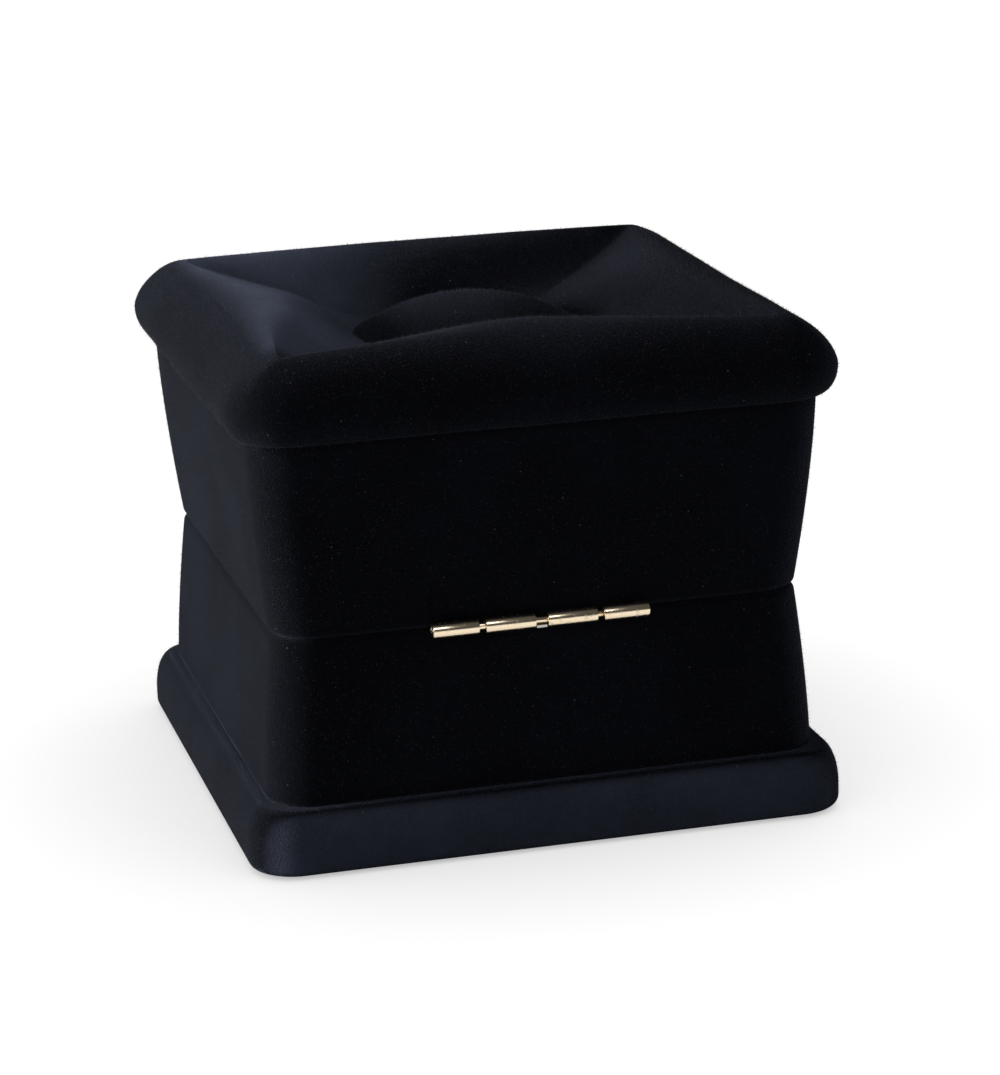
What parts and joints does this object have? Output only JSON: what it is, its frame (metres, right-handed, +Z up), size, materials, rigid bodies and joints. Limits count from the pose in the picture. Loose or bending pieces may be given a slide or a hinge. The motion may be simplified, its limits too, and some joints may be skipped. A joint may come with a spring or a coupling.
{
  "type": "hinged ring box",
  "caption": "Small square velvet ring box with a hinged flared lid, padded top with a starred well and dome, rounded plinth, brass hinge and a slotted ring cushion inside.",
  "frame": {"origin": "centre of the underside, on the surface that the box rests on", "axes": "+Z up through the lid, +Y towards the hinge at the back, -Y towards the side that opens, +X to the left seen from the back"},
  "size_m": [0.0654, 0.0654, 0.055],
  "materials": {
    "velvet": "navy black velvet, short nap",
    "shell": "moulded, unpainted",
    "board": "grey card",
    "satin": "ivory satin",
    "foam": "open cell foam",
    "felt": "pressed black felt",
    "cushion_velvet": "ivory velvet",
    "hinge_brass": "bright plated",
    "pin_brass": "bright plated",
    "spring_steel": "spring steel"
  },
  "bodies": {
    "base": {"base_core": "shell", "base_wrap": "velvet", "plinth_core": "shell", "plinth_wrap": "velvet", "bottom_felt": "felt", "base_lining": "satin", "insert_tray": "board", "foam_riser": "foam", "ring_cushion_front": "cushion_velvet", "ring_cushion_back": "cushion_velvet", "base_hinge_leaf": "hinge_brass", "base_leaf_rivets": "hinge_brass", "hinge_pin": "pin_brass", "snap_spring": "spring_steel"},
    "lid": {"lid_core": "shell", "lid_wrap": "velvet", "top_board": "board", "top_pad": "velvet", "top_dome": "velvet", "lid_lining": "satin", "puff_board": "board", "lid_puff": "satin", "lid_hinge_leaf": "hinge_brass", "lid_leaf_rivets": "hinge_brass"}
  },
  "joints": [
    {"name": "lid_hinge", "type": "hinge", "parent": "base", "child": "lid", "pos_m": [0, 0.02955, 0.0246], "axis": [-1, 0, 0], "range_deg": [0, 95]}
  ]
}
